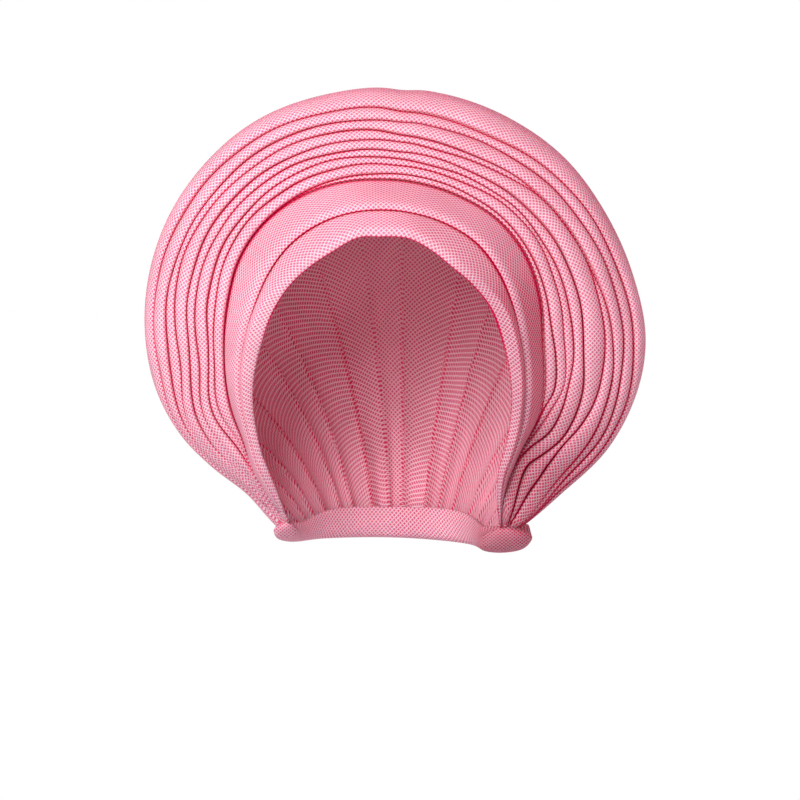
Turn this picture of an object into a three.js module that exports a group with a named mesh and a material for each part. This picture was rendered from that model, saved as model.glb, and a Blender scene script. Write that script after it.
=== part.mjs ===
// A pre-tied gele head tie in stiff woven cloth: two folded brow bands, a pleated fan that frames the
// face, a gathered crown behind it and a turned-up roll at the nape. Every piece is a cloth wall.
// Millimetres, +Z up, the face opening towards -Y. The origin is the middle of the head at brow height.

import * as THREE from "three";

// Driving dimensions
const WALL = 1.2; // one layer of the stiffened cloth
const FAN_AXIS_Z = 8.4; // height of the axis that the sections stand round
const BAND_END = 139; // where the brow bands stop on each side, in degrees from straight up
const FAN_ENDS = { left: -152, right: 146 }; // where the fan and the crown stop
const STEPS_ROUND = 33; // sections along each piece that goes over the head

// One row for each section round the face, by its angle from straight up (+ towards +X).
// R columns are radii from the fan's axis and Y columns are depths, for the four edges that a section
// meets: the face opening, the fold line between the bands, the fan's foot and the rim.
const SECTIONS = [
  { angle: -152, openR: 108, openY: 4, foldR: 110, foldY: 10, footR: 112, footY: 15, rimR: 120, rimY: 29 },
  { angle: -138, openR: 100, openY: -7, foldR: 103, foldY: 1, footR: 106, footY: 10, rimR: 118, rimY: 32 },
  { angle: -115, openR: 80, openY: -30, foldR: 86, foldY: -19, footR: 93, footY: -8, rimR: 127, rimY: 24 },
  { angle: -90, openR: 66, openY: -46, foldR: 76, foldY: -34, footR: 87, footY: -20, rimR: 135, rimY: 18 },
  { angle: -60, openR: 59, openY: -60, foldR: 74, foldY: -47, footR: 90, footY: -27, rimR: 140, rimY: 16 },
  { angle: -30, openR: 56, openY: -72, foldR: 72, foldY: -57, footR: 90, footY: -31, rimR: 143, rimY: 14 },
  { angle: 0, openR: 56, openY: -76, foldR: 72, foldY: -61, footR: 89, footY: -33, rimR: 142, rimY: 14 },
  { angle: 30, openR: 56, openY: -72, foldR: 72, foldY: -57, footR: 91, footY: -31, rimR: 144, rimY: 14 },
  { angle: 60, openR: 58, openY: -60, foldR: 75, foldY: -47, footR: 93, footY: -27, rimR: 146, rimY: 16 },
  { angle: 90, openR: 66, openY: -46, foldR: 77, foldY: -34, footR: 90, footY: -20, rimR: 149, rimY: 18 },
  { angle: 115, openR: 80, openY: -30, foldR: 88, foldY: -19, footR: 97, footY: -8, rimR: 143, rimY: 24 },
  { angle: 138, openR: 100, openY: -7, foldR: 104, foldY: 1, footR: 108, footY: 10, rimR: 134, rimY: 32 },
  { angle: 146, openR: 106, openY: 0, foldR: 109, foldY: 7, footR: 113, footY: 14, rimR: 131, rimY: 30 },
];

// One row for each pleat of the fan, from the brow outwards: its share of the way from foot to rim, seen
// from the front, at the left end, left temple, top, right temple and right end, and how far it stands up.
const PLEATS = [
  { leftEnd: 0.04, left: 0.09, top: 0.11, right: 0.12, rightEnd: 0.34, height: 3.6 },
  { leftEnd: 0.04, left: 0.12, top: 0.08, right: 0.08, rightEnd: 0.08, height: 3.6 },
  { leftEnd: 0.04, left: 0.11, top: 0.09, right: 0.09, rightEnd: 0.08, height: 3.8 },
  { leftEnd: 0.04, left: 0.14, top: 0.1, right: 0.12, rightEnd: 0.08, height: 4.0 },
  { leftEnd: 0.04, left: 0.15, top: 0.12, right: 0.2, rightEnd: 0.1, height: 4.2 },
  { leftEnd: 0.04, left: 0.11, top: 0.13, right: 0.18, rightEnd: 0.1, height: 4.2 },
  { leftEnd: 0.06, left: 0.15, top: 0.14, right: 0.11, rightEnd: 0.1, height: 4.0 },
  { leftEnd: 0.7, left: 0.13, top: 0.23, right: 0.1, rightEnd: 0.12, height: 3.6 },
];
const PLEAT_PLACES = [
  { column: "leftEnd", angle: -152 },
  { column: "left", angle: -90 },
  { column: "top", angle: 0 },
  { column: "right", angle: 90 },
  { column: "rightEnd", angle: 146 },
];
const PLEAT_FADE = { from: 95, to: 142, rest: 0.1 }; // the pleats flatten towards the fan's two ends

// A pleat's profile: share of the way across it, from the crease nearer the face, and share of its height.
const PLEAT_PROFILE = [
  { across: 0.0, up: 0.0 },
  { across: 0.1, up: 0.6 },
  { across: 0.32, up: 1.0 },
  { across: 0.62, up: 0.86 },
  { across: 0.86, up: 0.38 },
];

// The fan's foot tucks in behind the upper band: steps along its line and over it.
const FOOT_TUCK = [
  { along: -5, up: -5 },
  { along: -1.5, up: -3 },
];

// Folded brow bands: each layer is rows of the share of the way from opening to foot, a step along that
// line and the height over it. The lower band runs on under the upper one, which drops to the fan's foot.
const FOLD_RADIUS = 1.3; // middle of the wall round each band's folded edge
const FOLD_STEPS = 4;
const LAYERS_APART = 2 * FOLD_RADIUS;
const LOWER_BAND = {
  fold: 0,
  lift: 0,
  outer: [
    { share: 0.6, along: 0, up: 0 },
    { share: 0.42, along: 0, up: 0.3 },
    { share: 0.24, along: 0, up: 0.5 },
  ],
  inner: [
    { share: 0.24, along: 0, up: 0.3 },
    { share: 0.5, along: 0, up: 0 },
  ],
};
const UPPER_BAND = {
  fold: 0.5,
  lift: 5.2, // its folded edge stands this far over the lower band
  outer: [
    { share: 1, along: -3, up: -3.4 },
    { share: 0.85, along: 0, up: -1.6 },
    { share: 0.7, along: 0, up: -0.2 },
  ],
  inner: [
    { share: 0.7, along: 0, up: -0.4 },
    { share: 0.82, along: 0, up: -1.7 },
    { share: 1, along: -3.4, up: -3.2 },
  ],
};

// Fan hem and crown
const RIM_STAND = 1.6; // the rim's outline stands this far out from the line that the pleats are laid on
const HEM_LIFT = 1.0; // the fan's hem lies this far outside the crown's line, and the crown as far inside
const HEM_SHARES = [0.025, 0.07]; // points of the hem, as shares of the way from rim to nape
const CROWN_STEPS = 12;
const CROWN_RIM_HANDLE = 0.3; // the crown's curve leaves the rim straight back for this share of its span
const CROWN_NAPE_HANDLE = 0.5; // and comes down to the nape from up and behind for this share
const CROWN_LEAN = 28; // degrees from upright at which it comes down
const GATHER = { folds: 6, depth: 0.008 }; // folds that grow towards the nape, deep as a share of the span

// Nape roll, a long pouch on an ellipse round the back of the neck that takes the crown's lower edge
const NAPE = { x: 8, y: 22, halfWidth: 61, halfDepth: 54 };
const HEM_ENDS = { left: -78, right: 78 }; // where the crown's lower edge stops, from straight back
const ROLL_END = 102; // where the roll stops on each side
const ROLL_ROUND = 26; // the last degrees of it are rounded off
const ROLL_TIP = 0.22; // share of its size that is left at the tips
const ROLL_STEPS = 34;
// One row for each section of the roll, by its angle from straight back (+ towards +X): the heights of its
// lip, of the crown's edge in it and of its underside, and its outer and inner walls from that edge.
const NAPE_SECTIONS = [
  { angle: -102, lipZ: -98, hemZ: -101, bottomZ: -106, outer: 6, inner: -5 },
  { angle: -72, lipZ: -95, hemZ: -100, bottomZ: -107, outer: 10, inner: -6 },
  { angle: -40, lipZ: -87, hemZ: -95, bottomZ: -105, outer: 11, inner: -5 },
  { angle: 0, lipZ: -86, hemZ: -94, bottomZ: -105, outer: 11, inner: -5 },
  { angle: 40, lipZ: -88, hemZ: -97, bottomZ: -108, outer: 13, inner: -7 },
  { angle: 72, lipZ: -97.5, hemZ: -103, bottomZ: -112, outer: 17, inner: -13 },
  { angle: 102, lipZ: -94, hemZ: -101, bottomZ: -111, outer: 16, inner: -16 },
];
// The roll's wall: share of the way from the inner side to the outer one, and from the underside to the lip.
const ROLL_PROFILE = [
  { across: 0.9, up: 1 },
  { across: 0.98, up: 0.7 },
  { across: 1, up: 0.4 },
  { across: 0.86, up: 0.1 },
  { across: 0.5, up: 0 },
  { across: 0.14, up: 0.1 },
  { across: 0, up: 0.45 },
  { across: 0, up: 0.9 },
];

const radians = THREE.MathUtils.degToRad;
const { lerp, smoothstep, mapLinear } = THREE.MathUtils;

/** A smooth curve through a table's rows: returns a function of the key that gives the other columns. */
function tableCurve(rows, key) {
  const columns = Object.keys(rows[0]).filter((column) => column !== key);
  const keys = rows.map((row) => row[key]);
  const values = rows.flatMap((row) => columns.map((column) => row[column]));
  const curve = new THREE.CubicInterpolant(keys, values, columns.length);
  return (at) => Object.fromEntries(columns.map((column, i) => [column, curve.evaluate(at)[i]]));
}

const edgesAt = tableCurve(SECTIONS, "angle");
const napeAt = tableCurve(NAPE_SECTIONS, "angle");
const pleatShares = PLEATS.map((pleat) =>
  tableCurve(PLEAT_PLACES.map(({ column, angle }) => ({ angle, share: pleat[column] })), "angle"),
);

/** The point at a radius and depth in the section at an angle round the face. */
function placed(angle, { x: radius, y: depth }) {
  const turn = radians(angle);
  return new THREE.Vector3(radius * Math.sin(turn), depth, FAN_AXIS_Z + radius * Math.cos(turn));
}

/** A point near a section curve: stepped along it, and out along its normal, which faces forwards. */
function offsetPoint(curve, share, along, out) {
  const point = curve.getPoint(share);
  const way = curve.getTangent(share);
  return new THREE.Vector2(point.x + along * way.x + out * way.y, point.y + along * way.y - out * way.x);
}

/** The line that the brow bands lie on: opening, fold line and foot in one section. */
function bandLine(angle) {
  const e = edgesAt(angle);
  return new THREE.SplineCurve([
    new THREE.Vector2(e.openR, e.openY),
    new THREE.Vector2(e.foldR, e.foldY),
    new THREE.Vector2(e.footR, e.footY),
  ]);
}

/** The line that the pleats stand on: it rises from the foot and turns straight back at the rim. */
function fanLine(angle) {
  const e = edgesAt(angle);
  const baseR = e.rimR - RIM_STAND;
  return new THREE.QuadraticBezierCurve(
    new THREE.Vector2(e.footR, e.footY),
    new THREE.Vector2(baseR, lerp(e.footY, e.rimY, 0.5)),
    new THREE.Vector2(baseR, e.rimY),
  );
}

/** Points of a folded edge: half a turn from the outer layer to the inner one. */
function foldPoints(curve, share, lift) {
  return Array.from({ length: FOLD_STEPS + 1 }, (_, i) => {
    const turn = (Math.PI * i) / FOLD_STEPS;
    const along = FOLD_RADIUS - FOLD_RADIUS * Math.sin(turn);
    return offsetPoint(curve, share, along, lift - FOLD_RADIUS + FOLD_RADIUS * Math.cos(turn));
  });
}

/** One section of a folded band: its outer layer, its folded edge and its inner layer. */
function bandSection(angle, band) {
  const line = bandLine(angle);
  const layer = (rows, drop) =>
    rows.map((row) => offsetPoint(line, row.share, row.along, band.lift + row.up - drop));
  const section = [
    ...layer(band.outer, 0),
    ...foldPoints(line, band.fold, band.lift),
    ...layer(band.inner, LAYERS_APART),
  ];
  return section.map((point) => placed(angle, point));
}

/** How much of a pleat's height is left at an angle: full over the head, fading to the fan's two ends. */
function pleatFade(angle) {
  return lerp(1, PLEAT_FADE.rest, smoothstep(Math.abs(angle), PLEAT_FADE.from, PLEAT_FADE.to));
}

/** One section of the pleated fan: tucked foot, pleats, rim and hem. */
function fanSection(angle) {
  const line = fanLine(angle);
  const shares = pleatShares.map((shareAt) => shareAt(angle).share);
  const total = shares.reduce((sum, share) => sum + share, 0);
  const section = FOOT_TUCK.map((row) => offsetPoint(line, 0, row.along, row.up));
  let start = 0;
  PLEATS.forEach((pleat, i) => {
    const width = shares[i] / total;
    const last = i === PLEATS.length - 1;
    PLEAT_PROFILE.forEach(({ across, up }) => {
      const floor = last ? HEM_LIFT * across : 0; // the last pleat runs out into the hem
      const seen = start + across * width;
      const share = 1 - Math.sqrt(1 - seen); // fanLine reaches the seen share of its radius there
      section.push(offsetPoint(line, share, 0, floor + up * pleat.height * pleatFade(angle)));
    });
    start += width;
  });
  const hem = HEM_SHARES.map((share) => crownPoint(angle, share, HEM_LIFT));
  return [...section.map((point) => placed(angle, point)), ...hem];
}

/** A point on the ellipse round the neck, moved out from it, at an angle from straight back. */
function napePoint(angle, out, z) {
  const turn = radians(angle);
  const way = new THREE.Vector2(Math.sin(turn) / NAPE.halfWidth, Math.cos(turn) / NAPE.halfDepth).normalize();
  return new THREE.Vector3(
    NAPE.x + NAPE.halfWidth * Math.sin(turn) + out * way.x,
    NAPE.y + NAPE.halfDepth * Math.cos(turn) + out * way.y,
    z,
  );
}

/** The crown's curve in one section: straight back from the rim, then down to the nape from behind. */
function crownCurve(angle) {
  const e = edgesAt(angle);
  const rim = placed(angle, new THREE.Vector2(e.rimR - RIM_STAND, e.rimY));
  const napeAngle = mapLinear(angle, FAN_ENDS.left, FAN_ENDS.right, HEM_ENDS.left, HEM_ENDS.right);
  const { hemZ } = napeAt(napeAngle);
  const nape = napePoint(napeAngle, 0, hemZ);
  const span = rim.distanceTo(nape);
  const leave = new THREE.Vector3(0, CROWN_RIM_HANDLE * span, 0).add(rim);
  const handle = CROWN_NAPE_HANDLE * span;
  const lean = radians(CROWN_LEAN);
  const arrive = napePoint(napeAngle, handle * Math.sin(lean), hemZ + handle * Math.cos(lean));
  return new THREE.CubicBezierCurve3(rim, leave, arrive, nape);
}

/** A point of the crown, lifted outwards from its curve and waved by the gathers. */
function crownPoint(angle, share, lift) {
  const curve = crownCurve(angle);
  const point = curve.getPoint(share);
  const nearby = crownCurve(angle + 0.5).getPoint(share);
  const way = curve.getTangent(share);
  const out = nearby.sub(point).cross(way).normalize();
  const span = curve.v0.distanceTo(curve.v3);
  const turns = mapLinear(angle, FAN_ENDS.left, FAN_ENDS.right, 0, GATHER.folds);
  const gather = GATHER.depth * span * share * share * Math.cos(2 * Math.PI * turns);
  return point.addScaledVector(out, lift + gather);
}

/** One section of the crown, from under the fan's hem to inside the nape roll. */
function crownSection(angle) {
  return Array.from({ length: CROWN_STEPS + 1 }, (_, i) => crownPoint(angle, i / CROWN_STEPS, -HEM_LIFT));
}

/** The share of its full size that the roll has at an angle: rounded off like a ball at both tips. */
function rollSize(angle) {
  const into = Math.max(0, Math.abs(angle) - (ROLL_END - ROLL_ROUND)) / ROLL_ROUND;
  return lerp(ROLL_TIP, 1, Math.sqrt(Math.max(0, 1 - into * into)));
}

/** One section of the nape roll: outer wall, folded lower edge and inner wall. */
function napeSection(angle) {
  const { lipZ, bottomZ, outer, inner } = napeAt(angle);
  const size = rollSize(angle);
  const half = 0.5;
  return ROLL_PROFILE.map(({ across, up }) =>
    napePoint(
      angle,
      lerp(inner, outer, half + (across - half) * size),
      lerp(bottomZ, lipZ, half + (up - half) * size),
    ),
  );
}

/** Sections spread evenly between two angles. */
function sectionsBetween(first, last, steps, sectionAt) {
  return Array.from({ length: steps + 1 }, (_, i) => sectionAt(lerp(first, last, i / steps)));
}

/** The middle surface through a row of sections, with smooth normals. */
function clothSurface(sections) {
  const across = sections[0].length;
  const index = [];
  for (let i = 0; i + 1 < sections.length; i++) {
    for (let j = 0; j + 1 < across; j++) {
      const a = i * across + j;
      const b = a + across;
      index.push(a, a + 1, b, b, a + 1, b + 1);
    }
  }
  const surface = new THREE.BufferGeometry().setFromPoints(sections.flat());
  surface.setIndex(index);
  surface.computeVertexNormals();
  return surface;
}

/** A closed cloth wall: the middle surface moved half the wall to each side, joined round its border. */
function clothWall(sections) {
  const across = sections[0].length;
  const along = sections.length;
  const surface = clothSurface(sections);
  const middle = surface.getAttribute("position");
  const normal = surface.getAttribute("normal");
  const count = middle.count;
  const positions = new Float32Array(6 * count);
  const point = new THREE.Vector3();
  const way = new THREE.Vector3();
  for (let i = 0; i < count; i++) {
    way.fromBufferAttribute(normal, i);
    point.fromBufferAttribute(middle, i).addScaledVector(way, WALL / 2).toArray(positions, 3 * i);
    point.addScaledVector(way, -WALL).toArray(positions, 3 * (count + i));
  }
  const front = [...surface.getIndex().array];
  const back = front.map((_, k) => count + front[k - (k % 3) + 2 - (k % 3)]);
  const border = [
    ...Array.from({ length: across - 1 }, (_, j) => j),
    ...Array.from({ length: along - 1 }, (_, i) => i * across + across - 1),
    ...Array.from({ length: across - 1 }, (_, j) => along * across - 1 - j),
    ...Array.from({ length: along - 1 }, (_, i) => (along - 1 - i) * across),
  ];
  const sides = border.flatMap((a, k) => {
    const b = border[(k + 1) % border.length];
    return [b, a, count + a, b, count + a, count + b];
  });
  const wall = new THREE.BufferGeometry();
  wall.setAttribute("position", new THREE.BufferAttribute(positions, 3));
  wall.setIndex([...front, ...back, ...sides]);
  wall.computeVertexNormals();
  return wall;
}

/** A named cloth piece. */
function clothPiece(name, sections, colour) {
  const cloth = new THREE.MeshStandardMaterial({ color: colour, roughness: 0.85, metalness: 0 });
  const piece = new THREE.Mesh(clothWall(sections), cloth);
  piece.name = name;
  return piece;
}

const overBrow = (band) =>
  sectionsBetween(-BAND_END, BAND_END, STEPS_ROUND, (angle) => bandSection(angle, band));
const overHead = (sectionAt) => sectionsBetween(FAN_ENDS.left, FAN_ENDS.right, STEPS_ROUND, sectionAt);
const roundNape = (sectionAt) => sectionsBetween(-ROLL_END, ROLL_END, ROLL_STEPS, sectionAt);

const headTie = new THREE.Group();
headTie.add(
  clothPiece("brow_band_lower", overBrow(LOWER_BAND), "#ef9fb6"),
  clothPiece("brow_band_upper", overBrow(UPPER_BAND), "#ee9bb3"),
  clothPiece("pleated_fan", overHead(fanSection), "#ed98b1"),
  clothPiece("back_crown", overHead(crownSection), "#ec96af"),
  clothPiece("nape_roll", roundNape(napeSection), "#e890a9"),
);

export default headTie;
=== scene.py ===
"""A pre-tied gele head tie in stiff two-tone pink cloth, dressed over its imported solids.

Sizes are millimetres in the frame of the solids: +Z up, the face opening towards -Y, the origin in the
middle of the head at brow height. A section is cut at an angle round the face, from straight up and
positive towards +X, and its points are given as a radius from the fan's axis and a depth along Y.
"""

import logging
import math
from dataclasses import dataclass
from enum import Enum
from typing import Any, NamedTuple, Sequence

import bpy
import numpy as np
from bpy.types import Material, NodeSocket, NodeTree, Object
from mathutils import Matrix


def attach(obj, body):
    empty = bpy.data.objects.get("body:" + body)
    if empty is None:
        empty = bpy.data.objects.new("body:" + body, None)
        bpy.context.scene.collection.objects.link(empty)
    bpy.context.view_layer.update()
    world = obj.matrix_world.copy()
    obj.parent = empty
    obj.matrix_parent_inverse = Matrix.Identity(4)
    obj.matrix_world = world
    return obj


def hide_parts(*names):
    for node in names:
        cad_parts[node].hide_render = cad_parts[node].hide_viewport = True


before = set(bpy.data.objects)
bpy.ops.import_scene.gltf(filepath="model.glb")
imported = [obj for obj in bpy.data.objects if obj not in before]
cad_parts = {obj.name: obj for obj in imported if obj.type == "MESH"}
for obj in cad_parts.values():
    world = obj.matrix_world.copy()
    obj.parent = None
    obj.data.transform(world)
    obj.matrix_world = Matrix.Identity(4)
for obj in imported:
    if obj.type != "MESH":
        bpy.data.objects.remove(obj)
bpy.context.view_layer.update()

Array = np.ndarray
Pair = tuple[float, float]

LOG = logging.getLogger("head_tie")
MM = 0.001
FAN_AXIS_Z = 8.4
CLOTH_WALL = 0.8
# Share by which the weave closes up towards the sides, and the angles from straight up where it does so.
CLOSING = 0.1
CLOSING_ANGLES = (20, 75)
# What a cloth piece carries for its finish: place on the flat cloth, painted red shade in the folds
# with a painted highlight on the crests, and painted shade that takes away brightness.
WEAVE_MAP = "weave"
PAINTED_LIGHT_MAP = "painted_light"
PAINTED_SHADE_MAP = "painted_shade"
# Settings that several shader nodes share.
EASED = {"interpolation_type": "SMOOTHSTEP"}
COLOURS = {"data_type": "RGBA"}
# Numbers of a mix node's two colour inputs and of its colour output.
MIX_FROM, MIX_TO, MIXED = 6, 7, 2


class Hold(Enum):
    """How a sheet of cloth is held in the tied head tie."""

    FOLDED = "folded"
    GATHERED = "gathered"


class BandPlace(Enum):
    """Which of the two bands over the brow a band is."""

    LOWER = "lower"
    UPPER = "upper"


class Wave(NamedTuple):
    """A sine wave round the face: its size, its turns in a full circle, and its shift from fold to fold."""

    size: float
    turns: float
    shift: float

    def at(self, turn: Array, number: Array | int) -> Array:
        """The wave's height at an angle in radians, for a fold's number."""
        return self.size * np.sin(self.turns * turn + self.shift * number)


def table(kind: type, *rows: tuple[float, ...]) -> tuple:
    """Rows of one kind from plain rows of numbers."""
    return tuple(kind(*row) for row in rows)


class SectionRow(NamedTuple):
    """Radii and depths of the four edges that one section round the face meets."""

    angle: float
    open_r: float
    open_y: float
    fold_r: float
    fold_y: float
    foot_r: float
    foot_y: float
    rim_r: float
    rim_y: float


SECTIONS = table(
    SectionRow,
    (-152, 105, 4, 108, 8, 111, 15, 123, 29),
    (-138, 95.6, -9, 100, -4, 105, 10, 117.4, 32),
    (-126, 86, -20, 91, -14, 96, 1, 121.6, 28),
    (-115, 78.6, -30, 85, -24, 92.3, -8, 127, 24),
    (-90, 65, -46, 75, -39, 87.2, -21, 134.1, 18),
    (-75, 60.6, -54, 71.8, -45, 87.6, -26, 137, 17),
    (-60, 57.4, -62, 71.3, -50, 90.2, -29, 139.2, 16),
    (-45, 54.6, -69, 71.5, -54, 91.1, -32, 140.9, 15),
    (-30, 53.5, -73, 71.1, -57, 90.5, -34, 142.6, 14),
    (-11, 55.4, -76, 70.1, -61, 88.7, -37, 142.2, 14),
    (0, 54.5, -76, 69.8, -61, 87.8, -37, 142.2, 14),
    (5, 54.8, -76, 69.9, -61, 87.9, -37, 141.2, 14),
    (9.5, 55.2, -76, 70, -61, 88, -37, 142.3, 14),
    (13, 55.5, -76, 70.1, -61, 88.1, -37, 142.5, 14),
    (30, 54.4, -73, 71.8, -57, 89.8, -34, 143.7, 14),
    (45, 54.2, -69, 73.6, -53, 92, -32, 145.4, 15),
    (60, 57.4, -62, 73.8, -49, 92.4, -29, 145.4, 16),
    (75, 61.7, -54, 74.1, -44, 91, -25, 146.5, 17),
    (90, 65.7, -46, 76.2, -39, 89.6, -21, 148.8, 18),
    (115, 79, -30, 86.5, -24, 97.2, -8, 143, 24),
    (130, 90, -17, 96, -11, 100.4, 4, 135.3, 30),
    (146, 104, 0, 108, 4, 113, 14, 134, 30),
)


# In the next two tables a row is an angle and a number for each crease of the fan, from its foot outwards.
# Where the creases run: the share of the way from foot to rim, as seen from the front.
CREASE_PLACES = np.array(
    [
        (-152, 0.005, 0.01, 0.015, 0.08, 0.15, 0.25, 0.38, 0.55),
        (-137, 0.005, 0.01, 0.015, 0.12, 0.28, 0.45, 0.62, 0.80),
        (-128, 0.008, 0.06, 0.16, 0.36, 0.56, 0.68, 0.80, 0.90),
        (-115, 0.01, 0.17, 0.31, 0.46, 0.60, 0.73, 0.84, 0.93),
        (-98, 0.004, 0.12, 0.21, 0.33, 0.45, 0.587, 0.731, 0.852),
        (-78, 0.004, 0.138, 0.231, 0.372, 0.483, 0.632, 0.721, 0.87),
        (-40, 0.006, 0.142, 0.234, 0.345, 0.45, 0.578, 0.683, 0.82),
        (0, 0.05, 0.151, 0.237, 0.314, 0.416, 0.52, 0.643, 0.769),
        (13, 0.055, 0.15, 0.215, 0.292, 0.395, 0.474, 0.627, 0.739),
        (88, 0.088, 0.195, 0.278, 0.396, 0.603, 0.668, 0.785, 0.892),
        (96, 0.12, 0.204, 0.29, 0.405, 0.60, 0.695, 0.80, 0.90),
        (106, 0.11, 0.19, 0.26, 0.435, 0.58, 0.72, 0.83, 0.92),
        (113, 0.03, 0.11, 0.24, 0.43, 0.53, 0.742, 0.84, 0.925),
        (120, 0.01, 0.05, 0.21, 0.395, 0.48, 0.735, 0.83, 0.92),
        (126, 0.005, 0.02, 0.09, 0.31, 0.49, 0.74, 0.83, 0.92),
        (131, 0.004, 0.008, 0.02, 0.22, 0.51, 0.76, 0.85, 0.93),
        (137, 0.004, 0.008, 0.012, 0.28, 0.525, 0.79, 0.89, 0.95),
        (146, 0.004, 0.008, 0.012, 0.62, 0.70, 0.87, 0.94, 0.97),
    ]
)

# How deep the creases are, as shares of a pleat's height; some fold in hard and some only show as a line.
CREASE_DEPTHS = np.array(
    [
        (-152, 0.05, 0.05, 0.05, 0.05, 0.05, 0.05, 0.05, 0.05),
        (-137, 0.1, 0.1, 0.3, 0.05, 0.1, 0.05, 0.05, 0.05),
        (-124, 0.6, 0.3, 1.0, 0.25, 0.45, 0.2, 0.3, 0.15),
        (-105, 0.95, 0.6, 0.95, 0.6, 0.85, 0.6, 0.75, 0.5),
        (-75, 0.95, 0.7, 0.9, 0.7, 0.9, 0.7, 0.9, 0.65),
        (0, 0.8, 0.9, 0.8, 0.9, 0.9, 0.9, 1.0, 0.9),
        (45, 0.9, 0.7, 0.8, 0.9, 0.8, 0.7, 0.9, 0.75),
        (82, 0.9, 0.65, 0.75, 0.9, 0.85, 0.7, 0.9, 0.8),
        (92, 0.9, 0.6, 0.75, 0.9, 0.85, 0.7, 0.9, 0.8),
        (104, 0.9, 0.5, 0.7, 1.0, 0.8, 0.9, 0.9, 0.8),
        (115, 0.6, 0.5, 0.8, 1.0, 0.8, 0.9, 0.8, 0.7),
        (122, 0.3, 0.4, 1.0, 1.0, 1.0, 0.7, 0.7, 0.6),
        (134, 0.1, 0.1, 0.3, 1.0, 1.0, 0.4, 0.5, 0.5),
        (146, 0.1, 0.1, 0.1, 0.8, 0.8, 0.3, 0.4, 0.4),
    ]
)


class PleatRow(NamedTuple):
    """A point of a pleat's profile: share of the way across it, step along it and share of its height."""

    across: float
    along: float
    up: float


# From the bottom of the crease nearer the face, up the folded edge that leans over it.
FOLDED_EDGE = table(
    PleatRow,
    (0.0, 0.4, -0.1),
    (0.0, 0.25, 0.1),
    (0.0, 0.0, 0.32),
    (0.0, -0.3, 0.55),
    (0.03, -0.2, 0.78),
)
# A pleat goes on over its crest and down outwards into the next crease.
PLEAT_PROFILE = table(
    PleatRow,
    *FOLDED_EDGE,
    (0.13, 0.0, 0.94),
    (0.3, 0.0, 1.0),
    (0.5, 0.0, 0.95),
    (0.67, 0.0, 0.84),
    (0.8, 0.0, 0.66),
    (1.0, -1.0, 0.43),
    (1.0, -0.6, 0.2),
    (1.0, -0.2, 0.0),
)
# The last pleat is the rim, which rolls over to the back instead of folding in.
RIM_PROFILE = table(
    PleatRow,
    *FOLDED_EDGE,
    (0.11, 0.0, 0.94),
    (0.24, 0.0, 1.0),
    (0.42, 0.0, 0.98),
    (0.62, 0.0, 0.88),
    (0.82, 0.0, 0.7),
    (1.0, 0.0, 0.5),
    (1.0, 2.5, 0.42),
    (1.0, 5.0, 0.28),
    (1.0, 7.5, 0.12),
)


class BandRow(NamedTuple):
    """A point of a folded band: share of its edge's width, step back, share of its flat, step out of it."""

    edge: float
    back: float
    flat: float
    out: float


# From the end of the inner layer, round the folded edge that faces forwards, and up the flat of the band.
BAND_PROFILE = table(
    BandRow,
    (1.0, 0.0, 0.85, -2.6),
    (1.0, 0.0, 0.3, -2.8),
    (0.5, 3.4, 0.0, 0.0),
    (0.1, 2.6, 0.0, 0.0),
    (0.0, 1.4, 0.0, 0.0),
    (0.1, 0.4, 0.0, 0.0),
    (0.45, 0.0, 0.0, 0.0),
    (0.9, 0.15, 0.0, 0.1),
    (1.0, 0.0, 0.1, 0.5),
    (1.0, 0.0, 0.35, 0.9),
    (1.0, 0.0, 0.7, 0.6),
    (1.0, 0.0, 0.98, 0.0),
)


class NapeRow(NamedTuple):
    """Heights and walls of the nape roll in the section at an angle from straight back."""

    angle: float
    lip_z: float
    hem_z: float
    bottom_z: float
    outer: float
    inner: float


NAPE_SECTIONS = table(
    NapeRow,
    (-102, -92, -98, -102, 8, -6),
    (-72, -94, -99, -106, 10, -6),
    (-40, -87, -95, -105, 11, -5),
    (0, -86, -94, -105, 11, -5),
    (40, -88, -97, -108, 13, -7),
    (72, -96, -103, -112, 17, -13),
    (102, -93, -101, -111, 16, -16),
)


class RollRow(NamedTuple):
    """A point of the roll's wall: share of the way from inner to outer side, and from underside to lip."""

    across: float
    up: float


ROLL_PROFILE = table(
    RollRow,
    (0.8, 0.96),
    (0.9, 1.0),
    (0.98, 0.72),
    (1.0, 0.4),
    (0.86, 0.1),
    (0.5, 0.0),
    (0.14, 0.1),
    (0.0, 0.45),
    (0.02, 0.9),
    (0.1, 0.95),
)


def smooth_table(keys: Array, values: Array, at: Array) -> Array:
    """Cubic Hermite curve through rows of values, its slope at each key taken from the rows on both sides.

    Args:
        keys: rising keys, one for each row.
        values: one row of columns for each key.
        at: keys to read the curve at, held inside the table.

    Returns:
        One row of columns for each key in at.
    """
    slopes = np.gradient(values, keys, axis=0)
    held = np.clip(at, keys[0], keys[-1])
    cell = np.clip(np.searchsorted(keys, held, side="right") - 1, 0, len(keys) - 2)
    width = (keys[cell + 1] - keys[cell])[:, None]
    t = (held - keys[cell])[:, None] / width
    start = (1 + 2 * t) * (1 - t) ** 2 * values[cell] + t * (1 - t) ** 2 * width * slopes[cell]
    end = t * t * (3 - 2 * t) * values[cell + 1] + t * t * (t - 1) * width * slopes[cell + 1]
    return start + end


def rows_at(rows: Sequence[NamedTuple], at: Array) -> NamedTuple:
    """A table of named columns read along the smooth curve through its rows.

    Args:
        rows: rows of one kind, rising in their first column.
        at: values of the first column to read the others at.

    Returns:
        One row of the same kind, with an array in each column.
    """
    table = np.array(rows, dtype=float)
    columns = smooth_table(table[:, 0], table[:, 1:], at)
    return type(rows[0])(at, *columns.T)


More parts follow.
